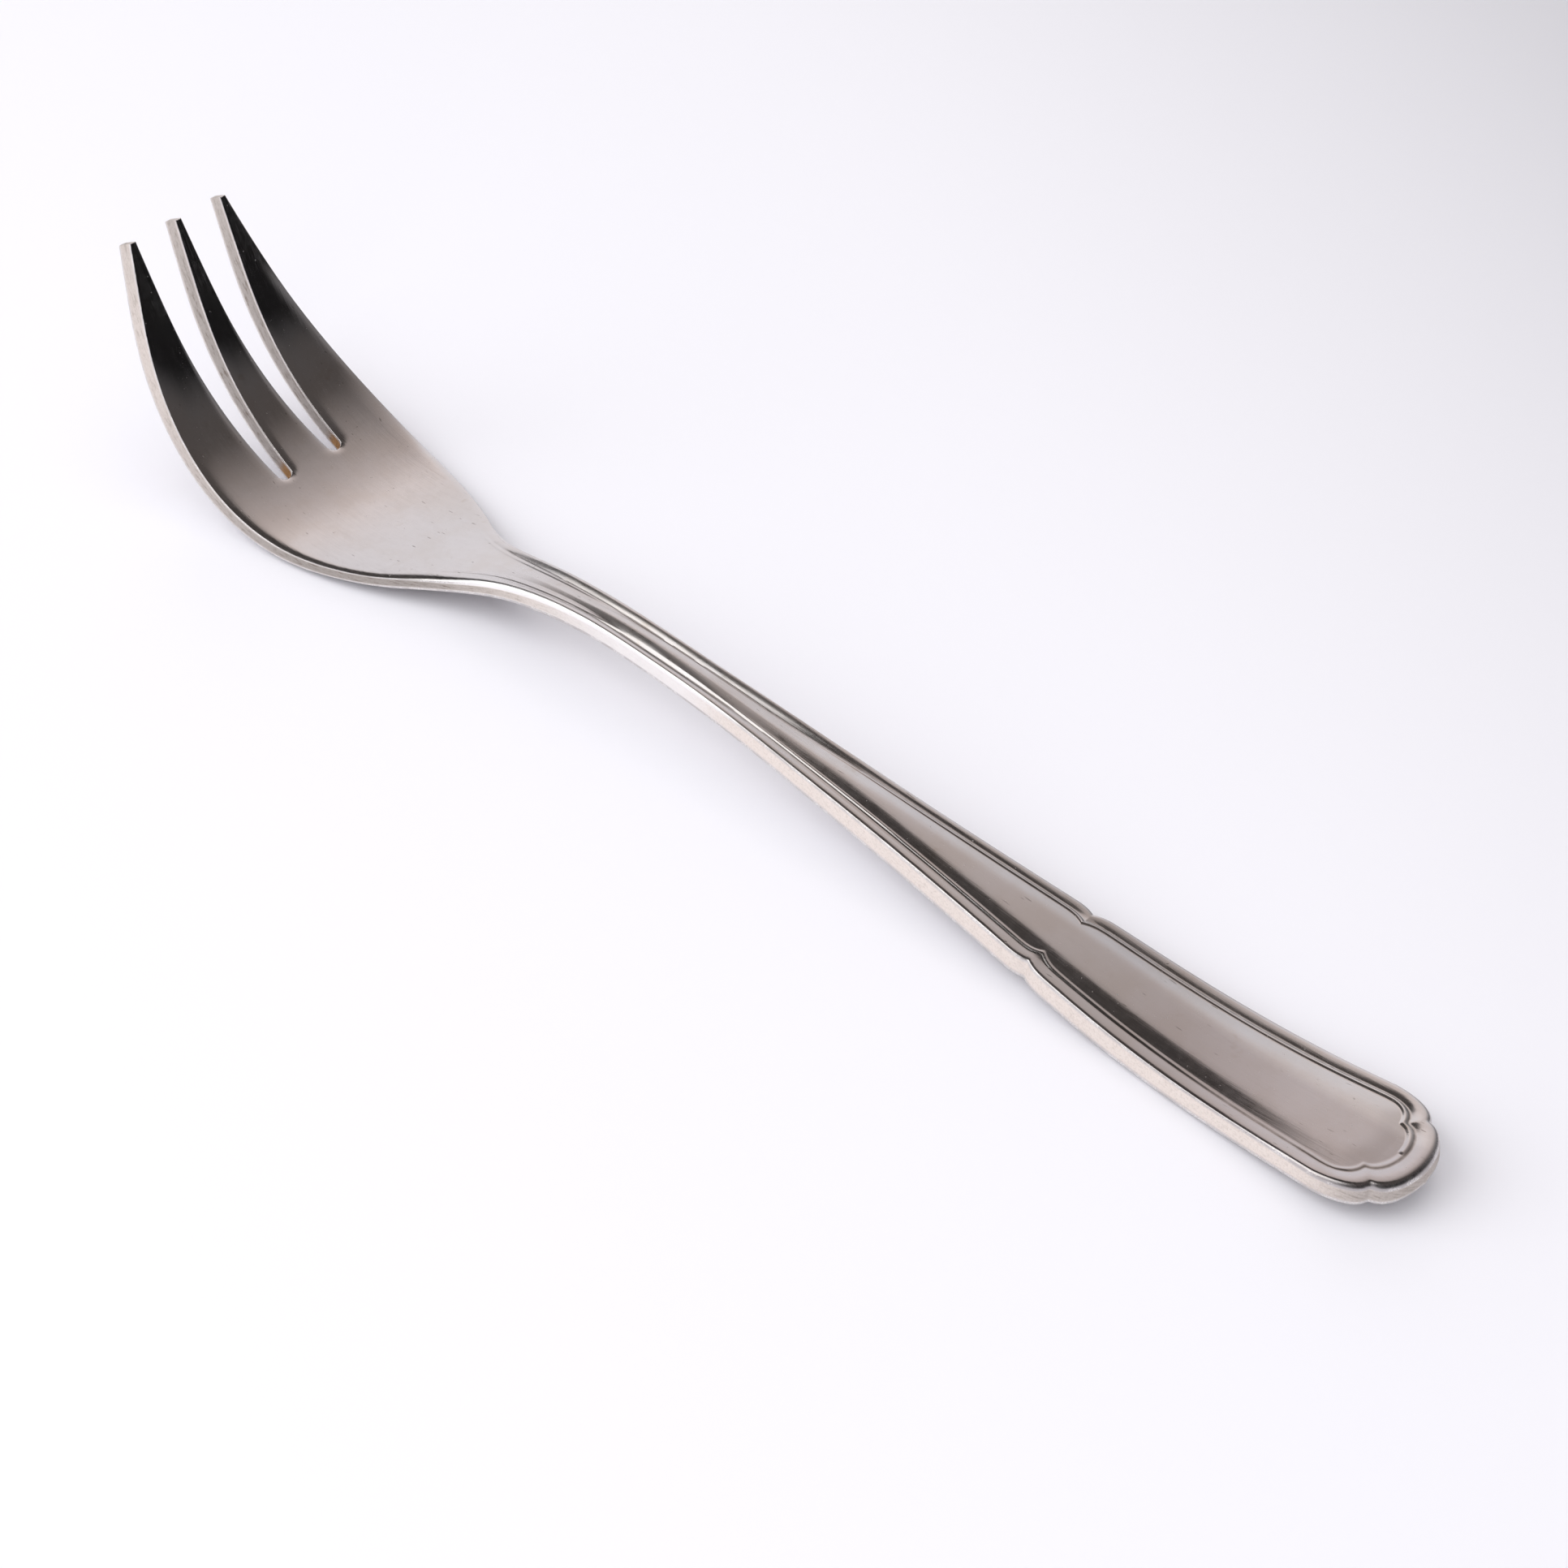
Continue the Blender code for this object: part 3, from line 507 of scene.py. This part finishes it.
# faces of one sheet, seen from the front: the slots stay open and both halves meet in the last row
def sheetFaces(rows, columns):
    row, column = np.meshgrid(np.arange(rows), np.arange(columns), indexing="ij")
    mirrored = np.minimum(column, columns - 1 - column)
    shared = np.where(row == rows - 1, np.minimum(mirrored, railLast), column)
    number = row * columns + shared
    quads = np.stack([number[:-1, :-1], number[:-1, 1:], number[1:, 1:], number[1:, :-1]], axis=-1)
    cell = np.minimum(column, columns - 2 - column)[:-1, :-1]
    slotCells = (row[:-1, :-1] < forkShape["rows"]["tine"]) & (cell >= slotFirst) & (cell < slotLast)
    quads = quads[~slotCells]
    pole = quads[:, 2] == quads[:, 3]
    return quads[~pole], quads[pole][:, :3]


# directed edges that only one face uses, each known by its first point times a stride plus its second
def openEdges(quads, triangles):
    edges = np.concatenate([quads[:, [k, (k + 1) % 4]] for k in range(4)]
                           + [triangles[:, [k, (k + 1) % 3]] for k in range(3)])
    stride = edges.max() + 1
    key = edges[:, 0] * stride + edges[:, 1]
    back = edges[:, 1] * stride + edges[:, 0]
    return edges[~np.isin(key, back)]


# front sheet, back sheet and the wall between their rims, with a map and the values that the finish reads
def buildFork():
    f = forkShape
    front, back, fullS, fullY, near, backNear, slotAway, footLine = forkSheets()
    rows, columns = fullS.shape
    size = rows * columns
    quads, triangles = sheetFaces(rows, columns)
    rim = openEdges(quads, triangles)
    rings = f["rows"]["wall"]
    share = np.arange(1, rings + 1)[:, None, None] / (rings + 1)
    frontFlat = front.reshape(-1, 3)
    backFlat = back.reshape(-1, 3)
    onRim = np.unique(rim)
    wallSize = rings * len(onRim)
    ringPlace = np.zeros(size, dtype=int)
    ringPlace[onRim] = np.arange(len(onRim))
    wall = (1.0 - share) * frontFlat[onRim] + share * backFlat[onRim]
    points = np.concatenate([frontFlat, backFlat, wall.reshape(-1, 3)])

    def level(index):  # numbers of the rim's points on the front, on each ring and on the back
        if index == 0:
            return rim
        if index == rings + 1:
            return rim + size
        return 2 * size + (index - 1) * len(onRim) + ringPlace[rim]

    wallQuads = [np.stack([level(k)[:, 1], level(k)[:, 0], level(k + 1)[:, 0], level(k + 1)[:, 1]], axis=-1)
                 for k in range(rings + 1)]
    quads = np.concatenate([quads, quads[:, ::-1] + size] + wallQuads)
    triangles = np.concatenate([triangles, triangles[:, ::-1] + size])

    flatS = fullS.reshape(-1)
    flatY = fullY.reshape(-1)
    rimS = flatS[onRim]
    apart = f["mapApart"]
    depth = np.repeat(share[:, 0, 0], len(onRim)) * f["mapWall"]
    wallY = np.tile(flatY[onRim], rings) - apart - depth
    strip = np.concatenate([np.stack([flatS, flatY], axis=-1), np.stack([flatS, flatY + apart], axis=-1),
                            np.stack([np.tile(rimS, rings), wallY], axis=-1)])
    inSlot = slotAway.reshape(-1)[onRim] < f["onSlot"]
    root = smoothStep(slotCentre - f["rootFrom"], slotCentre - f["rootFull"], rimS) * inSlot
    # painted shade: the wall's tone, lower in the slots and round the palm, darkens its colour towards black
    paintedTone = np.where(inSlot, np.interp(rimS, *np.array(f["paintedSlotTone"]).T),
                    np.interp(rimS, *np.array(f["paintedWallTone"]).T))
    layers = {"wall": np.concatenate([np.zeros(2 * size), np.ones(wallSize)]),
              "edge": np.concatenate([near.reshape(-1), backNear.reshape(-1), np.zeros(wallSize)]),
              "root": np.concatenate([np.zeros(2 * size), np.tile(root, rings)]),
              "paintedTone": np.concatenate([np.ones(2 * size), np.tile(paintedTone, rings)]),
              "footLine": np.concatenate([footLine.reshape(-1), np.zeros(size + wallSize)])}

    used = np.unique(np.concatenate([quads.reshape(-1), triangles.reshape(-1)]))
    renumber = np.zeros(len(points), dtype=int)
    renumber[used] = np.arange(len(used))
    mesh = bpy.data.meshes.new("forkStrip")
    mesh.from_pydata((points[used] * mm).tolist(), [],
                     renumber[quads].tolist() + renumber[triangles].tolist())
    for name, values in layers.items():
        layer = mesh.attributes.new(name, "FLOAT", "POINT")
        layer.data.foreach_set("value", values[used].astype(np.float32))
    corner = np.empty(len(mesh.loops), dtype=np.int32)
    mesh.loops.foreach_get("vertex_index", corner)
    layer = mesh.uv_layers.new(name="strip")
    layer.uv.foreach_set("vector", (strip[used][corner] * mm).astype(np.float32).reshape(-1))
    mesh.shade_smooth()
    mesh.set_sharp_from_angle(angle=math.radians(f["sharpAngle"]))
    fork = bpy.data.objects.new("forkStrip", mesh)
    bpy.context.scene.collection.objects.link(fork)
    return fork


fork = buildFork()
fork.data.calc_loop_triangles()
print("fork built:", len(fork.data.vertices), "points,", len(fork.data.loop_triangles), "triangles")


# makes a node, sets its properties and sockets by name, and links where a socket is given
def addNode(tree, kind, settings=None, **sockets):
    node = tree.nodes.new(kind)
    for name, value in (settings or {}).items():
        setattr(node, name, value)
    for name, value in sockets.items():
        socket = node.inputs[int(name[1:])] if name[0] == "i" and name[1:].isdigit() else node.inputs[name]
        if isinstance(value, bpy.types.NodeSocket):
            tree.links.new(value, socket)
        else:
            socket.default_value = value
    return node


# one operation on two values
def mathNode(tree, operation, first, second):
    return addNode(tree, "ShaderNodeMath", {"operation": operation}, i0=first, i1=second).outputs[0]


# first + second
def plus(tree, first, second):
    return mathNode(tree, "ADD", first, second)


# first times second
def times(tree, first, second):
    return mathNode(tree, "MULTIPLY", first, second)


# 1 - share
def rest(tree, share):
    return mathNode(tree, "SUBTRACT", 1.0, share)


# eased from one value at low to another at high: 3t^2 - 2t^3
def rampNode(tree, value, low, high, fromValue=0.0, toValue=1.0):
    return addNode(tree, "ShaderNodeMapRange", {"interpolation_type": "SMOOTHSTEP"}, Value=value,
                   **{"From Min": low, "From Max": high, "To Min": fromValue, "To Max": toValue}).outputs[0]


# 1 between two places along the strip, easing in before the first and out after the second
def stretch(tree, along, start, full, ease, stop):
    return times(tree, rampNode(tree, along, start, full), rampNode(tree, along, stop, ease))


# first times (1 - factor) + second times factor, for colours
def mixColour(tree, factor, first, second):
    node = addNode(tree, "ShaderNodeMix", {"data_type": "RGBA"})
    for index, value in ((0, factor), (6, first), (7, second)):
        if isinstance(value, bpy.types.NodeSocket):
            tree.links.new(value, node.inputs[index])
        else:
            node.inputs[index].default_value = value if index == 0 else (*value, 1.0)
    return node.outputs[2]


# the same for numbers
def mixFloat(tree, factor, first, second):
    return addNode(tree, "ShaderNodeMix", {"data_type": "FLOAT"}, Factor=factor, A=first, B=second).outputs[0]


# cloudy noise about 0.5: sum of finer and finer layers, each weaker by its roughness
def noiseNode(tree, vector, scale, detail, rough):
    return addNode(tree, "ShaderNodeTexNoise", Vector=vector, Scale=scale, Detail=detail,
                   Roughness=rough).outputs[0]


plateFinish = {
    "face": (0.617, 0.581, 0.562), "cool": (0.638, 0.611, 0.604), "stain": (0.45, 0.37, 0.29),
    "panelShadeColour": (0.10, 0.05, 0.08), "pit": (0.16, 0.14, 0.12), "worn": (0.90, 0.87, 0.85),
    "highlightWhite": (1.0, 0.98, 0.97), "wall": (0.95, 0.868, 0.803), "wallDark": (0.79, 0.708, 0.64),
    "wallPit": (0.34, 0.25, 0.18), "shadeBlack": (0.0, 0.0, 0.0), "amber": (0.46, 0.24, 0.08),
    # roughness, and what dull spots, specks, edges and the worn neck add to it
    "tineRough": (0.05, 0.17), "faceRough": (0.12, 0.22), "wallRough": (0.40, 0.58),
    "mottleRough": 0.05, "speckRough": 0.35, "edgeRough": 0.14, "neckRough": 0.12,
    # how much of the plate's colour each mark covers
    "stainCover": 0.35, "panelShadeCover": 0.18, "pitCover": 0.3, "scratchCover": 0.45, "speckCover": 0.5,
    "footDarkeningCover": (0.35, 0.8), "wallPitCover": 1.4, "wallHighlightCover": 0.75, "edgeHighlightCover": 0.9,
    # noise of each mark: scale per metre, detail and roughness
    "lines": (9000.0, 3.0, 0.6), "streaks": (2200.0, 3.0, 0.6), "scratches": (3600.0, 1.0, 0.4),
    "wallPits": (2600.0, 4.0, 0.65), "cloud": (210.0, 5.0, 0.62), "mottle": (1400.0, 3.0, 0.6),
    "grain": (9000.0, 3.0, 0.65), "coarse": (4200.0, 8.0, 0.8), "pits": (1500.0, 1.0, 0.4),
    "specks": (2900.0, 2.0, 0.5), "patches": (700.0, 3.0, 0.6), "stains": (330.0, 3.0, 0.6),
    # marks drawn out lengthwise: place of the noise, its turn and how far it is squeezed
    "drawn": {"lines": ((0.0123, 0.0371, 0.0529), 0.0, 0.03),
              "streaks": ((0.0217, 0.0443, 0.0331), 0.0, 0.05),
              "scratches": ((0.0, 0.0, 0.0), 0.7, 0.14),
              "wallPits": ((0.0317, 0.0213, 0.0431), 0.0, 0.3)},
    # where each mark begins and is full, in its noise and in the nearness of an edge
    "cloudRange": (0.36, 0.62), "stainRange": (0.62, 0.78), "pitRange": (0.80, 0.84),
    "speckRange": (0.72, 0.78), "scratchRange": (0.74, 0.79), "footDarkeningRange": (0.35, 0.6),
    "wornPatch": (0.42, 0.6), "wornGrain": (0.42, 0.58), "lineRange": (0.2, 0.8), "mottleRange": (0.3, 0.8),
    "wallPitRange": (0.5, 0.68), "wallCoarse": (0.45, 0.68), "wallGrain": (0.3, 0.7),
    "wornEdge": (0.35, 0.9), "edgeHighlightRange": (0.05, 0.4), "roughEdge": (0.2, 0.8), "chippedEdge": (0.05, 0.5),
    # metres that each mark stands out
    "lineHeight": 0.000003, "streakHeight": 0.000005, "chipHeight": 0.000012, "pitDepth": 0.000006,
    "grainHeight": 0.000016, "coarseHeight": 0.00002,
    # metres along and across the strip: glossy tines, painted dark reflection on the panel, painted highlight
    # on the neck's edge and wall, worn neck
    "tinesEase": (0.012, 0.026), "panelShadeAlong": (0.126, 0.139), "panelShadeAcross": (0.0022, 0.0008),
    "edgeHighlightAlong": (0.050, 0.056, 0.082, 0.092), "edgeHighlightAcross": (0.0, -0.001),
    "wallHighlightAlong": (0.058, 0.074, 0.080, 0.088), "wearAlong": (0.052, 0.062, 0.088, 0.105),
}


# noise drawn out along its first axis
def drawnNoise(tree, vector, name):
    place, turn, squeeze = plateFinish["drawn"][name]
    mapped = addNode(tree, "ShaderNodeMapping", Vector=vector, Location=place, Rotation=(0.0, 0.0, turn),
                     Scale=(squeeze, 1.0, 1.0)).outputs[0]
    return noiseNode(tree, mapped, *plateFinish[name])


# worn plate: the face's and the wall's colour, roughness and height are each mixed by the wall layer
def plateMaterial():
    c = plateFinish
    material = bpy.data.materials.new("wornPlate")
    material.use_nodes = True
    tree = material.node_tree
    shader = tree.nodes["Principled BSDF"]
    shader.inputs["Metallic"].default_value = 1.0
    objectPlace = addNode(tree, "ShaderNodeTexCoord").outputs["Object"]
    strip = addNode(tree, "ShaderNodeUVMap", {"uv_map": "strip"}).outputs[0]
    along, across = addNode(tree, "ShaderNodeSeparateXYZ", Vector=strip).outputs[:2]

    def layer(name):  # value that the mesh holds at each point
        return addNode(tree, "ShaderNodeAttribute", {"attribute_name": name}).outputs["Fac"]

    def noise(name):  # noise of one mark, spread evenly
        return noiseNode(tree, objectPlace, *c[name])

    wall, edge, root, paintedTone, footLine = [layer(name) for name in ("wall", "edge", "root", "paintedTone", "footLine")]
    lines, streaks = [drawnNoise(tree, strip, name) for name in ("lines", "streaks")]
    cloud, mottle, grain, coarse, patches = [noise(name) for name in ("cloud", "mottle", "grain", "coarse",
                                                                      "patches")]
    pits = rampNode(tree, noise("pits"), *c["pitRange"])
    specks = rampNode(tree, noise("specks"), *c["speckRange"])
    stain = rampNode(tree, noise("stains"), *c["stainRange"], 0.0, c["stainCover"])
    scratches = rampNode(tree, drawnNoise(tree, objectPlace, "scratches"), *c["scratchRange"])
    wallPits = rampNode(tree, drawnNoise(tree, strip, "wallPits"), *c["wallPitRange"], 0.0,
                        c["wallPitCover"])

    colour = mixColour(tree, rampNode(tree, cloud, *c["cloudRange"]), c["face"], c["cool"])
    colour = mixColour(tree, stain, colour, c["stain"])
    # painted shade: the handle's panel is darkened towards its end, most on its near side, standing in for
    # the dark room it mirrors
    panelShade = times(tree, rampNode(tree, along, *c["panelShadeAlong"]), rampNode(tree, across, *c["panelShadeAcross"]))
    colour = mixColour(tree, times(tree, panelShade, c["panelShadeCover"]), colour, c["panelShadeColour"])
    marks = mathNode(tree, "MAXIMUM", times(tree, pits, c["pitCover"]),
                     times(tree, scratches, c["scratchCover"]))
    colour = mixColour(tree, marks, colour, c["pit"])
    colour = mixColour(tree, times(tree, specks, c["speckCover"]), colour, c["worn"])
    # a broken darker line along the foot of the bead
    footDarkening = times(tree, footLine, rampNode(tree, patches, *c["footDarkeningRange"], *c["footDarkeningCover"]))
    colour = mixColour(tree, footDarkening, colour, c["pit"])
    # edges lightened in patches: partly real wear, partly painted glints along the edges
    wornEdge = times(tree, rampNode(tree, patches, *c["wornPatch"]), rampNode(tree, grain, *c["wornGrain"]))
    wornEdge = times(tree, rampNode(tree, edge, *c["wornEdge"]), wornEdge)
    colour = mixColour(tree, wornEdge, colour, c["worn"])
    # painted highlight: the near edge of the neck is lightened to near white, standing in for the near lamp's
    # reflection
    neckEdgeHighlight = times(tree, stretch(tree, along, *c["edgeHighlightAlong"]), rampNode(tree, across, *c["edgeHighlightAcross"]))
    neckEdgeHighlight = times(tree, neckEdgeHighlight, rampNode(tree, edge, *c["edgeHighlightRange"], 0.0, c["edgeHighlightCover"]))
    colour = mixColour(tree, neckEdgeHighlight, colour, c["highlightWhite"])

    # sheared wall: pitted and given painted shade where its painted tone is low, lightened along the polished
    # neck by a painted highlight, amber in the slots' roots
    wallColour = mixColour(tree, rampNode(tree, coarse, *c["wallCoarse"]), c["wall"], c["wallDark"])
    paintedShade = rest(tree, paintedTone)
    wallColour = mixColour(tree, times(tree, wallPits, paintedShade), wallColour, c["wallPit"])
    wallColour = mixColour(tree, paintedShade, wallColour, c["shadeBlack"])
    # painted highlight: the polished neck wall is lightened to near white where it mirrors the near lamp
    wallHighlight = times(tree, stretch(tree, along, *c["wallHighlightAlong"]), c["wallHighlightCover"])
    wallColour = mixColour(tree, wallHighlight, wallColour, c["highlightWhite"])
    wallColour = mixColour(tree, root, wallColour, c["amber"])
    tree.links.new(mixColour(tree, wall, colour, wallColour), shader.inputs["Base Color"])

    # the tines are a little glossier than the palm and handle
    sheen = mixFloat(tree, rampNode(tree, along, *c["tinesEase"]),
                     rampNode(tree, lines, *c["lineRange"], *c["tineRough"]),
                     rampNode(tree, lines, *c["lineRange"], *c["faceRough"]))
    sheen = plus(tree, sheen, rampNode(tree, mottle, *c["mottleRange"], 0.0, c["mottleRough"]))
    sheen = plus(tree, sheen, times(tree, specks, c["speckRough"]))
    sheen = plus(tree, sheen, rampNode(tree, edge, *c["roughEdge"], 0.0, c["edgeRough"]))
    sheen = plus(tree, sheen, times(tree, stretch(tree, along, *c["wearAlong"]), c["neckRough"]))
    rough = mixFloat(tree, wall, sheen, rampNode(tree, grain, *c["wallGrain"], *c["wallRough"]))
    tree.links.new(rough, shader.inputs["Roughness"])

    # edges are chipped, except along the neck's near edge where the painted highlight lies
    chipped = times(tree, rampNode(tree, edge, *c["chippedEdge"]), coarse)
    chipped = times(tree, chipped, rest(tree, neckEdgeHighlight))
    faceHeight = plus(tree, times(tree, lines, c["lineHeight"]), times(tree, streaks, c["streakHeight"]))
    faceHeight = plus(tree, faceHeight, times(tree, chipped, c["chipHeight"]))
    faceHeight = mathNode(tree, "SUBTRACT", faceHeight, times(tree, pits, c["pitDepth"]))
    wallHeight = plus(tree, times(tree, grain, c["grainHeight"]), times(tree, coarse, c["coarseHeight"]))
    bump = addNode(tree, "ShaderNodeBump", Strength=1.0, Distance=1.0,
                   Height=mixFloat(tree, wall, faceHeight, wallHeight))
    tree.links.new(bump.outputs[0], shader.inputs["Normal"])
    return material


fork.data.materials.append(plateMaterial())
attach(fork, "root")
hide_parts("fork")
print("finish made")


# floor, and lamps as name, place, size, power and whether the metal mirrors them
studio = {"floorColour": (0.915, 0.91, 0.965), "floorShade": (0.03, 0.03, 0.032), "floorRough": 0.4,
          "floorSize": 6.0, "floorGap": 0.00002, "shadeFrom": 0.03, "shadeTo": 0.36, "shadeWay": (0.5, 0.87),
          "lamps": (("overhead", (0.16, -0.04, 0.80), 1.3, 4.4, False),
                    ("left", (-0.52, -0.36, 0.50), 0.8, 2.1, False),
                    ("nearRight", (0.45, -0.55, 0.35), 0.6, 0.9, False),
                    ("nearLeft", (-0.34, -0.52, 0.50), 0.88, 3.2, True))}


# pale table top with painted shade: its colour fades to dark on the far right, outside the picture, in place
# of the light's falloff
def buildFloor(setup):
    half = setup["floorSize"]
    corners = np.array([(-half, -half, 0.0), (half, -half, 0.0), (half, half, 0.0), (-half, half, 0.0)])
    mesh = bpy.data.meshes.new("tableFloor")
    mesh.from_pydata((corners - (0.0, 0.0, setup["floorGap"])).tolist(), [], [(0, 1, 2, 3)])
    floor = bpy.data.objects.new("tableFloor", mesh)
    bpy.context.scene.collection.objects.link(floor)
    material = bpy.data.materials.new("paleTable")
    material.use_nodes = True
    tree = material.node_tree
    shader = tree.nodes["Principled BSDF"]
    place = addNode(tree, "ShaderNodeTexCoord").outputs["Object"]
    x, y = addNode(tree, "ShaderNodeSeparateXYZ", Vector=place).outputs[:2]
    wayX, wayY = setup["shadeWay"]
    # painted shade: the floor's colour darkens along this way in place of the light's falloff
    fade = rampNode(tree, plus(tree, times(tree, x, wayX), times(tree, y, wayY)), setup["shadeFrom"],
                    setup["shadeTo"])
    colour = mixColour(tree, fade, setup["floorColour"], setup["floorShade"])
    tree.links.new(colour, shader.inputs["Base Color"])
    shader.inputs["Roughness"].default_value = setup["floorRough"]
    mesh.materials.append(material)


# round soft lamps turned to the middle of the table
def hangLamp(name, place, size, power, mirrored):
    data = bpy.data.lights.new(name, "AREA")
    data.shape = "DISK"
    data.size = size
    data.energy = power
    lamp = bpy.data.objects.new(name, data)
    bpy.context.scene.collection.objects.link(lamp)
    aim = Vector((0.0, 0.0, 0.0)) - Vector(place)
    lamp.matrix_world = Matrix.Translation(place) @ aim.to_track_quat("-Z", "Y").to_matrix().to_4x4()
    lamp.visible_glossy = mirrored


# the room by direction. An ease runs along the axis that its name ends in: from, to, and the values there
# where they aren't 0 and 1
room = {"leftFall": -0.8, "leftLevel": 0.39, "most": 1.05, "least": 0.012,
        "behindZ": (0.90, 0.50, 0.0, 0.34), "behindY": (0.2, 0.5), "behindX": (0.0, -0.6),
        "overheadY": (0.38, 0.26), "overheadZ": (0.22, 0.45),
        "horizonY": (0.55, 0.75), "horizonZ": (0.40, 0.15, 0.0, 0.6), "horizonX": (-0.45, -0.2),
        "backdropY": (0.58, 0.72, 0.0, 0.2), "backdropZ": (0.05, 0.2),
        "highZ": (0.36, 0.66), "highX": (-0.2, 0.3, 0.05, 0.09),
        "lowTint": (0.98, 0.96, 1.0), "highTint": (1.0, 0.89, 0.86), "tintZ": (0.40, 0.82)}


# bright walls on the left and low behind the fork, dark overhead and to the right
def paintRoom(setup):
    world = bpy.data.worlds.new("studioRoom")
    bpy.context.scene.world = world
    world.use_nodes = True
    tree = world.node_tree
    direction = addNode(tree, "ShaderNodeTexCoord").outputs["Generated"]
    x, y, z = addNode(tree, "ShaderNodeSeparateXYZ", Vector=direction).outputs
    way = {"X": x, "Y": y, "Z": z}

    def ease(name):  # one ease of the room, along the axis in its name
        return rampNode(tree, way[name[-1]], *setup[name])

    left = plus(tree, times(tree, x, setup["leftFall"]), setup["leftLevel"])
    behind = times(tree, times(tree, ease("behindZ"), ease("behindY")), ease("behindX"))
    level = mathNode(tree, "MINIMUM", plus(tree, left, behind), setup["most"])
    level = times(tree, level, rest(tree, times(tree, ease("overheadY"), ease("overheadZ"))))
    horizon = times(tree, times(tree, ease("horizonY"), ease("horizonZ")), ease("horizonX"))
    level = times(tree, level, rest(tree, horizon))
    backdrop = times(tree, ease("backdropY"), ease("backdropZ"))
    lowest = plus(tree, backdrop, plus(tree, times(tree, ease("highZ"), ease("highX")), setup["least"]))
    level = mathNode(tree, "MAXIMUM", level, lowest)
    colour = mixColour(tree, ease("tintZ"), setup["lowTint"], setup["highTint"])
    tree.links.new(colour, tree.nodes["Background"].inputs["Color"])
    tree.links.new(level, tree.nodes["Background"].inputs["Strength"])


buildFloor(studio)
for lampSettings in studio["lamps"]:
    hangLamp(*lampSettings)
paintRoom(room)
bpy.context.scene.view_settings.view_transform = "Standard"
print("table lit")
